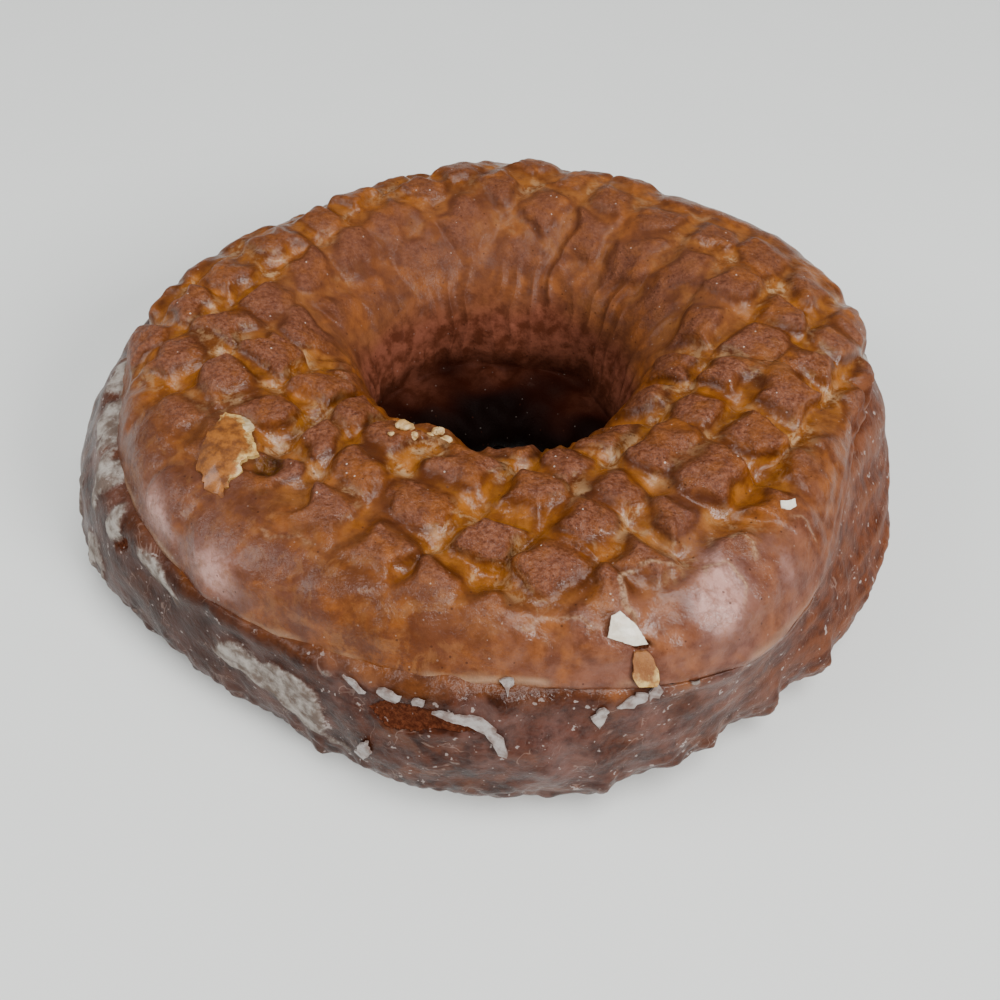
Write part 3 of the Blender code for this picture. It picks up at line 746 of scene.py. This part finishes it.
def filled(outline):
    """Points and triangles that fill a closed outline."""
    low, high = outline.min(axis=0), outline.max(axis=0)
    across, up = [np.arange(low[k] + 0.5 * CHIP_STEP, high[k], CHIP_STEP) for k in (0, 1)]
    inside = np.array([(u, v) for u in across for v in up])
    ends = np.roll(outline, -1, axis=0)
    u, v = inside[:, :1], inside[:, 1:]
    spans = (outline[:, 1] > v) != (ends[:, 1] > v)
    rise = np.where(ends[:, 1] == outline[:, 1], 1e-9, ends[:, 1] - outline[:, 1])
    meets = outline[:, 0] + (v - outline[:, 1]) * (ends[:, 0] - outline[:, 0]) / rise
    within = (spans & (u < meets)).sum(axis=1) % 2 == 1
    apart = np.linalg.norm(inside[:, None] - outline[None], axis=2).min(axis=1)
    inside = inside[within & (apart > 0.5 * CHIP_STEP)]
    count = len(outline)
    edges = [(k, (k + 1) % count) for k in range(count)]
    places = [Vector(point) for point in np.vstack([outline, inside])]
    flat, _, triangles, *_ = delaunay_2d_cdt(places, edges, [list(range(count))], 1, 1e-5)
    return np.array([tuple(point) for point in flat]), np.array(triangles)


def strike(trees, start, away):
    """Nearest point and normal of the crust on the way back from a start outside it."""
    hits = [tree.ray_cast(start * MM, -away) for tree in trees]
    near = min((hit for hit in hits if hit[0] is not None), key=lambda hit: hit[3])
    return np.array(near[0]) / MM, np.array(near[1])


def seated(plane, seat, first_angle, trees):
    """Where points of a chip's plane meet the crust, in millimetres, and the mean way out."""
    places, outs = [], []
    for u, v in plane:
        if seat == "top":
            away = Vector((0, 0, 1))
            start = Vector((u - MIDDLE[0], v - MIDDLE[1], STRIKE_HEIGHT))
        else:
            radius, climb = SEATS[seat][0], math.radians(SEATS[seat][1])
            angle = first_angle + u / radius
            flat = Vector((math.cos(angle), math.sin(angle), 0))
            away = flat * math.cos(climb) + Vector((0, 0, math.sin(climb)))
            start = flat * radius + away * STRIKE_REACH - Vector((*MIDDLE, -v))
        place, normal = strike(trees, start, away)
        places.append(place)
        outs.append(normal)
    out = np.mean(outs, axis=0)
    return np.array(places), out / np.linalg.norm(out)


def plate(places, out, plane, form, draw):
    """A thin stiff plate that follows the crust broadly and rises to one end."""
    thick, low, high, toward, fold = form
    flat = plane - plane.mean(axis=0)
    u, v = flat.T
    terms = np.stack([np.ones(len(u)), u, v, u * u, u * v, v * v], axis=1)
    broad = terms @ np.linalg.lstsq(terms, places, rcond=None)[0]
    way = math.radians(toward)
    rise = u * math.cos(way) + v * math.sin(way)
    share = (rise - rise.min()) / np.ptp(rise)
    across = u * math.sin(way) - v * math.cos(way)
    lift = low + (high - low) * share ** 1.4 - fold * np.abs(across) * share
    lift = lift + CHIP_BEND * noise(u, v, 0, 1.4, int(draw.integers(1000)))
    top = broad + out * (lift + 0.5 * thick)[:, None]
    return top, broad + out * (lift - 0.5 * thick)[:, None], share


def build_chip(name, seat, skin, form, corners, trees, skins):
    """A closed chip: the plate's two faces and the walls round its rim."""
    draw = np.random.default_rng(sum(map(ord, name)))
    corners = np.array(corners, dtype=float)
    first_angle = 0.0
    if seat != "top":
        first_angle = math.radians(corners[0, 0])
        corners[:, 0] = (np.radians(corners[:, 0]) - first_angle) * SEATS[seat][0]
    outline = ragged_outline(corners, CHIP_RAGGED[skin], draw)
    plane, triangles = filled(outline)
    places, out = seated(plane, seat, first_angle, trees)
    top, bottom, share = plate(places, out, plane, form, draw)
    first, second, third = top[triangles[0]]
    if np.dot(np.cross(second - first, third - first), out) < 0.0:
        triangles = triangles[:, ::-1]
    sides = np.vstack([triangles[:, [0, 1]], triangles[:, [1, 2]], triangles[:, [2, 0]]])
    known = {tuple(side) for side in sides}
    rims = np.array([side for side in map(tuple, sides) if side[::-1] not in known])
    count = len(plane)
    walls = np.vstack([np.stack([rims[:, 1], rims[:, 0], rims[:, 0] + count], axis=1),
                       np.stack([rims[:, 1], rims[:, 0] + count, rims[:, 1] + count], axis=1)])
    faces = np.vstack([triangles, triangles[:, ::-1] + count, walls])
    from_rim = np.linalg.norm(plane[:, None] - plane[np.unique(rims)][None], axis=2).min(axis=1)
    edge = np.exp(-from_rim / CHIP_RIM) * smooth(0.25, 0.8, share)
    material, slot = skins[skin]
    points = np.vstack([top, bottom]) * MM
    made = mesh_from(name, points, faces, {"edge": np.tile(edge, 2)}, material)
    made.data.set_sharp_from_angle(angle=math.radians(CHIP_CORNER))
    join_root(made)


def build_crumbs(trees, material, slot):
    """Small lumps of torn crumb, half sunk in the rim of the hole."""
    points, faces = [], []
    for number, (x, y, size) in enumerate(CRUMBS):
        ball = bmesh.new()
        bmesh.ops.create_icosphere(ball, subdivisions=4, radius=1)
        round_points = np.array([tuple(vert.co) for vert in ball.verts])
        corners = np.array([[vert.index for vert in face.verts] for face in ball.faces])
        faces.append(corners + sum(map(len, points)))
        ball.free()
        bumps = 1.0 + 0.28 * noise(*round_points.T, 0.9, 200 + number, 14)
        bumps = bumps + 0.08 * noise(*round_points.T, 0.3, 230 + number, 20)
        start = Vector((x - MIDDLE[0], y - MIDDLE[1], STRIKE_HEIGHT))
        place, _ = strike(trees, start, Vector((0, 0, 1)))
        points.append(round_points * bumps[:, None] * size * CRUMB_SHAPE + place)
    made = mesh_from("rim_crumbs", np.vstack(points) * MM, np.vstack(faces), {}, material)
    join_root(made)


# ---- Materials ----
class Surface:
    """Short ways to write a node material. Lengths in its textures are in millimetres."""

    def __init__(self, name):
        self.material = bpy.data.materials.new(name)
        self.material.use_nodes = True
        self.tree = self.material.node_tree
        place = self.node("ShaderNodeTexCoord", {}).outputs["Object"]
        inputs = {0: place, "Scale": 1.0 / MM}
        self.place = self.node("ShaderNodeVectorMath", inputs, operation="SCALE").outputs[0]

    def node(self, kind, inputs, **settings):
        """A new node, with its inputs by name or number."""
        made = self.tree.nodes.new(kind)
        for name, value in settings.items():
            setattr(made, name, value)
        for socket, value in inputs.items():
            self.put(made.inputs[socket], value)
        return made

    def put(self, socket, value):
        """Feed a socket from another one, from a mask given by its name, or with a plain value."""
        if isinstance(value, str):
            value = self.node("ShaderNodeAttribute", {}, attribute_name=value).outputs["Fac"]
        if hasattr(value, "is_linked"):
            self.tree.links.new(value, socket)
        elif isinstance(value, tuple):
            socket.default_value = (*value, 1)[:len(socket.default_value)]
        else:
            socket.default_value = value

    def math(self, operation, first, *others):
        """The operation on the first value and each of the others in turn."""
        for other in others:
            made = self.node("ShaderNodeMath", {0: first, 1: other}, operation=operation)
            first = made.outputs[0]
        return first

    def times(self, *values):
        return self.math("MULTIPLY", *values)

    def plus(self, *values):
        return self.math("ADD", *values)

    def minus(self, *values):
        return self.math("SUBTRACT", *values)

    def most(self, *values):
        return self.math("MAXIMUM", *values)

    def between(self, value, low, high, start=0, end=1):
        inputs = dict(enumerate((value, low, high, start, end)))
        return self.node("ShaderNodeMapRange", inputs, interpolation_type="SMOOTHSTEP").outputs[0]

    def less(self, name, left):
        """1 where the mask is 0, down to what is left where it is 1."""
        return self.between(name, 0, 1, 1, left)

    def mix(self, share, first, second):
        inputs = {"Factor": share, 6: first, 7: second}
        return self.node("ShaderNodeMix", inputs, data_type="RGBA").outputs[2]

    def mottle(self, texture, low, high, colours):
        return self.mix(self.between(texture, low, high), *colours)

    def over(self, under, colour, *shares):
        """The colour over the one under it, by the product of the shares."""
        return self.mix(self.times(*shares), under, colour)

    def noise(self, size, detail=2, roughness=0.5, bend=0):
        inputs = {"Vector": self.place, "Scale": 1.0 / size, "Detail": detail,
                  "Roughness": roughness, "Distortion": bend}
        return self.node("ShaderNodeTexNoise", inputs).outputs[0]

    def dots(self, spacing, radius):
        """Round dots about evenly strewn, with their radius as a share of the spacing."""
        inputs = {"Vector": self.place, "Scale": 1.0 / spacing}
        cells = self.node("ShaderNodeTexVoronoi", inputs, feature="F1")
        return self.math("LESS_THAN", cells.outputs["Distance"], radius)

    def bump(self, height, depth, before=None):
        """Bump of the given depth in millimetres for a height of 0 to 1."""
        inputs = {"Height": height, "Strength": 1, "Distance": depth * MM}
        if before is not None:
            inputs["Normal"] = before
        return self.node("ShaderNodeBump", inputs).outputs[0]

    def finish(self, **sockets):
        shader = self.tree.nodes["Principled BSDF"]
        for name, value in sockets.items():
            self.put(shader.inputs[name.replace("_", " ")], value)
        return self.material


class Crust(Surface):
    """A surface with the textures that all of the crust shares."""

    def __init__(self, name):
        super().__init__(name)
        self.broad = self.noise(6, 3, 0.6)
        self.mid = self.noise(1.8, 4, 0.6)
        self.fine = self.noise(0.45, 3, 0.65)
        self.patch = self.noise(4.2, 2.5, 0.55, bend=0.6)
        grain = self.times(self.minus(self.fine, 0.5), 0.35)
        self.bare = self.between(self.plus("bare", grain), 0, 0.06)
        self.dried = self.plus("frost", grain)
        self.frost = self.between(self.dried, -0.08, 0.24)
        self.open = self.most(self.bare, self.times(self.frost, 0.8))


def knob_colours(s):
    """Crust under clear glaze, amber where it is thick: knobs with dry tops and sides darkened by
    painted shade.
    """
    colour = s.mottle(s.mid, 0.28, 0.72, CRUST)
    amber = s.mottle(s.mid, 0.3, 0.7, AMBER)
    open_top = s.between("deep", 0.04, 0.22, 1, 0.15)
    colour = s.over(colour, amber, s.between(s.patch, 0.45, 0.66), 0.75, open_top)
    colour = s.over(colour, PALE_CRUST, s.between(s.broad, 0.56, 0.72), 0.5)
    # Painted shade on the sides of the knobs
    colour = s.over(colour, KNOB_SIDE_SHADE, "side", s.between(s.patch, 0.35, 0.65, 1, 0.55))
    golden = s.mottle(s.mid, 0.32, 0.68, GOLDEN)
    colour = s.over(colour, golden, "pool", s.between(s.patch, 0.35, 0.6, 0.8, 0.45))
    tops = s.mottle(s.fine, 0.32, 0.68, KNOB_TOP)
    colour = s.over(colour, tops, "top", s.between(s.patch, 0.4, 0.65, 0.9, 0.35))
    crackle = s.between(s.noise(1.7, 7, 0.75, bend=0.5), 0.46, 0.60)
    return s.over(colour, CRYSTAL, "vein", crackle, s.less("dull", 0.3), 0.75)


def shoulder_colours(s, colour):
    """Dusky and dusty patches of the smooth shoulder, and its rosy stretch."""
    dusky = s.between(s.noise(3.1, 5, 0.65, bend=0.4), 0.42, 0.56)
    dusty = s.between(s.noise(2.4, 6, 0.7, bend=0.6), 0.50, 0.62)
    colour = s.over(colour, SHOULDER, "shoulder", 0.35)
    colour = s.over(colour, DUSKY, "shoulder", dusky, 0.8)
    colour = s.over(colour, DUSTY, "shoulder", dusty, 0.32)
    blush = s.mottle(s.mid, 0.3, 0.7, BLUSH)
    return s.over(colour, blush, "blush", s.between(s.patch, 0.35, 0.6, 0.95, 0.55))


def side_colours(s, colour):
    """The dark lower lobe, and the rosy run of glaze with its streaks."""
    low = s.mottle(s.mid, 0.3, 0.7, LOW)
    low = s.over(low, LOW_WARM, s.between(s.patch, 0.52, 0.7), 0.4)
    low = s.over(low, LOW_MILKY, s.between(s.broad, 0.52, 0.64), 0.35)
    colour = s.over(colour, low, "lower")
    colour = s.over(colour, s.mottle(s.mid, 0.34, 0.66, ROSY), "run", 0.9)
    colour = s.over(colour, STREAK, "streak", 0.34)
    colour = s.over(colour, SHADE, "shade", 0.55)
    return s.over(colour, DULL, "dull", 0.35)


def milky_and_sheen_colours(s, colour):
    """Thin milky glaze, cloudy and wispy, whose pale end is also a painted sheen on the near right
    shoulder.
    """
    cloud = s.between(s.noise(2, 4, 0.65, bend=0.5), 0.3, 0.7, 0.5, 1.15)
    wisps = s.between(s.noise(0.9, 5, 0.7, bend=0.4), 0.36, 0.58, 0.6, 1.1)
    return s.over(colour, s.mottle("veil", 0.75, 1.5, MILK_AND_SHEEN), "veil", cloud, wisps, 0.66)


def hole_colours(s, colour):
    """The wall of the hole, with painted shade that darkens it with its depth to near black."""
    colour = s.over(colour, s.mottle(s.mid, 0.34, 0.66, HOLE), s.between("deep", 0.06, 0.40))
    # Painted shade deep in the hole
    colour = s.over(colour, HOLE_SHADE, s.between("deep", 0.66, 1))
    return s.over(colour, HOLE_DEEP_SHADE, s.between("deep", 0.93, 1))


def broken_colours(s, colour):
    """Spice, torn crumb, pale rims, cracks, bare crust, dried white glaze, and white sugar grains
    that also serve as painted glints.
    """
    colour = s.over(colour, SPICE, s.dots(1.5, 0.085), 0.6)
    torn = s.mottle(s.mid, 0.35, 0.7, TORN)
    flaky = s.between(s.fine, 0.3, 0.6, 0.35, 1)
    colour = s.over(colour, torn, s.between("gold", 0.25, 0.8), flaky)
    torn_rim = s.times("torn", s.between(s.fine, 0.35, 0.6, 0.25, 1))
    colour = s.over(colour, SHEET_EDGE, s.most(s.times("rim", 0.5), torn_rim), 0.8)
    wander = s.math("ABSOLUTE", s.minus(s.noise(5, 3, 0.6, bend=0.5), 0.5), 0)
    crack = s.between(wander, 0.002, 0.009, 1, 0)
    colour = s.over(colour, CRACK, crack, s.between(s.patch, 0.46, 0.6), "lower", 0.35)
    colour = s.over(colour, s.mottle(s.fine, 0.3, 0.75, RAW), s.bare)
    colour = s.over(colour, FROST_HAZE, s.between(s.dried, -0.24, 0.05, 0, 0.22))
    colour = s.over(colour, s.mottle(s.mid, 0.36, 0.66, FROST_WHITE), s.frost, 0.9)
    colour = s.over(colour, FLECK, s.between(s.noise(1, 2, 0.6), 0.66, 0.70), "lower", 0.6)
    # White sugar grains, mostly on the knob tops, which also serve as painted glints
    return s.over(colour, SUGAR_GLINT, s.dots(1.6, 0.07), s.plus("top", 0.15), 0.6)


def crust_roughness(s):
    rough = s.between("pool", 0, 1, 0.36, 0.22)
    for part, share in (("top", 0.10), (s.frost, 0.3), (s.bare, 0.4), ("deep", 0.25),
                        (s.minus(s.mid, 0.5), 0.15)):
        rough = s.plus(rough, s.times(part, share))
    return rough


def crust_coat(s):
    """How much clear glaze lies over the crust."""
    dry = s.most(s.times("top", 0.1), s.open, s.between("deep", 0.02, 0.35))
    coat = s.times(s.minus(1, dry), s.between("lower", 0, 1, 0.46, 0.32))
    return s.times(coat, s.less("dull", 0.25), s.less("run", 0.05), s.less("shade", 0.4))


def crust_relief(s):
    """Fine bump of the crust, and the softer one of the glaze over it."""
    crust = s.bump(s.noise(0.9, 3, 0.6), 0.12)
    crust = s.bump(s.times(s.noise(0.34, 3, 0.7), s.plus("top", s.open, 0.22)), 0.26, crust)
    glaze = s.bump(s.times(s.noise(1.1, 3, 0.6), s.less("calm", 0.45)), 0.10)
    lumps = s.times(s.noise(2.2, 3, 0.6), "lower", s.less("run", 0.3))
    glaze = s.bump(lumps, 0.45, glaze)
    glaze = s.bump(s.times(s.noise(0.5, 3, 0.65), s.plus("top", 0.2)), 0.36, glaze)
    return crust, glaze


def crust_material(name):
    """Browned crust under clear glaze, with milky veils and painted sheen, painted shade on the
    knobs' sides and deep in the hole, dried glaze, bare patches and crumb.
    """
    s = Crust(name)
    colour = knob_colours(s)
    for paint in (shoulder_colours, side_colours, milky_and_sheen_colours, hole_colours, broken_colours):
        colour = paint(s, colour)
    crust, glaze = crust_relief(s)
    return s.finish(Base_Color=colour, Roughness=crust_roughness(s), Normal=crust,
                    Coat_Weight=crust_coat(s), Coat_Roughness=0.22, Coat_Normal=glaze,
                    Specular_IOR_Level=CRUST_GLOSS)


def chip_material(name, dark, light, rim, glaze):
    """Dried glaze or torn crumb, mottled between two colours and paler along its edges."""
    s = Surface(name)
    colour = s.mottle(s.noise(1.1, 4, 0.6), 0.35, 0.65, (dark, light))
    grain = s.times(s.minus(s.noise(0.5, 3, 0.65), 0.5), 0.9)
    pale = s.between(s.plus("edge", grain), 0.2, 0.75)
    colour = s.over(colour, s.mottle(grain, -0.2, 0.2, CHIP_EDGE), pale, rim)
    normal = s.bump(s.noise(0.35, 3, 0.6), 0.08)
    return s.finish(Base_Color=colour, Roughness=0.42, Normal=normal, Coat_Weight=glaze,
                    Coat_Roughness=0.15, Specular_IOR_Level=0.25)


def floor_material():
    s = Surface("pale_floor")
    tone = s.mottle(s.noise(40, 4, 0.6), 0.35, 0.65, FLOOR_TONES)
    return s.finish(Base_Color=tone, Roughness=0.55, Normal=s.bump(s.noise(20, 3), 0.05))


# ---- Stage ----
CAMERA_PLACE = (1.315, -92.175, 105.236)
CAMERA_PITCH = 49.04
CAMERA_ROLL = 2.34
LENS = 36.0
SENSOR = 36.0
NEAREST = 0.005
SKY = (0.93, 0.97, 1, 1)
SKY_STRENGTH = 0.25
# Soft square lights: azimuth, elevation, distance, size, power
LIGHTS = {
    "left_window": (-165, 38, 1, 0.5, 4.4),
    "right_window": (-42, 32, 1, 0.33, 9.4),
    "overhead": (-50, 74, 1.1, 0.6, 10.4),
}
FLOOR_HALF = 3.0
FLOOR_TONES = ((0.80, 0.815, 0.79), (0.81, 0.825, 0.80))


def place_camera():
    pitch = math.radians(CAMERA_PITCH)
    forward = Vector((0, math.cos(pitch), -math.sin(pitch)))
    right = Vector((1, 0, 0))
    up = right.cross(forward)
    facing = Matrix((right, up, -forward)).transposed()
    data = bpy.data.cameras.new("camera")
    data.lens = LENS
    data.sensor_width = SENSOR
    data.clip_start = NEAREST
    camera = bpy.data.objects.new("camera", data)
    turn = facing @ Matrix.Rotation(math.radians(CAMERA_ROLL), 3, "Z")
    camera.matrix_world = Matrix.Translation(Vector(CAMERA_PLACE) * MM) @ turn.to_4x4()
    bpy.context.scene.collection.objects.link(camera)
    bpy.context.scene.camera = camera


def add_light(name, azimuth, elevation, distance, size, power):
    """A square soft light that faces the doughnut."""
    data = bpy.data.lights.new(name, "AREA")
    data.size = size
    data.energy = power
    light = bpy.data.objects.new(name, data)
    azimuth, elevation = math.radians(azimuth), math.radians(elevation)
    flat = Vector((math.cos(azimuth), math.sin(azimuth), 0))
    away = flat * math.cos(elevation) + Vector((0, 0, math.sin(elevation)))
    light.location = away * distance
    light.rotation_euler = away.to_track_quat("Z", "Y").to_euler()
    bpy.context.scene.collection.objects.link(light)


def build_stage():
    world = bpy.data.worlds.new("studio")
    world.use_nodes = True
    background = world.node_tree.nodes["Background"].inputs
    background["Color"].default_value = SKY
    background["Strength"].default_value = SKY_STRENGTH
    bpy.context.scene.world = world
    for name, light in LIGHTS.items():
        add_light(name, *light)
    corners = FLOOR_HALF * np.array([(-1, -1, 0), (1, -1, 0), (1, 1, 0), (-1, 1, 0)])
    mesh_from("floor", corners, np.array([[0, 1, 2, 3]]), {}, floor_material())


# ---- Build ----
def join_root(piece):
    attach(piece, "root")
    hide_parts("doughnut")


def build_crust():
    """The three bands of the ring: its top, its side with the base, and the wall of the hole."""
    angle, radius, height = plain_ring()
    lift, masks = survey(angle, radius, height)
    points = finished(angle, radius, height, *outward(radius, height), lift)
    normals = surface_normals(points)
    top_rows = INNER_ROWS + OUTER_ROWS
    side_rows = top_rows + FLANK_ROWS + UNDER_ROWS
    count = side_rows + WALL_ROWS
    surface, deep_surface = crust_material("glazed_crust"), crust_material("deep_crust")
    bands = {"crown": (0, top_rows, surface), "flank": (top_rows, side_rows, surface),
             "hole_wall": (side_rows, count, deep_surface)}
    made = []
    for name, (first, last, skin) in bands.items():
        rows = np.arange(first, last + 1) % count
        made.append(ring_piece(name, points, normals, masks, rows, skin))
        join_root(made[-1])
    return made


def main():
    place_camera()
    build_stage()
    bands = build_crust()
    depsgraph = bpy.context.evaluated_depsgraph_get()
    trees = [BVHTree.FromObject(band, depsgraph) for band in bands]
    skins = {skin: (chip_material(*look), slot) for skin, (*look, slot) in SKINS.items()}
    for name, chip in CHIPS.items():
        build_chip(name, *chip, trees, skins)
    build_crumbs(trees, *skins["crumb"])


main()
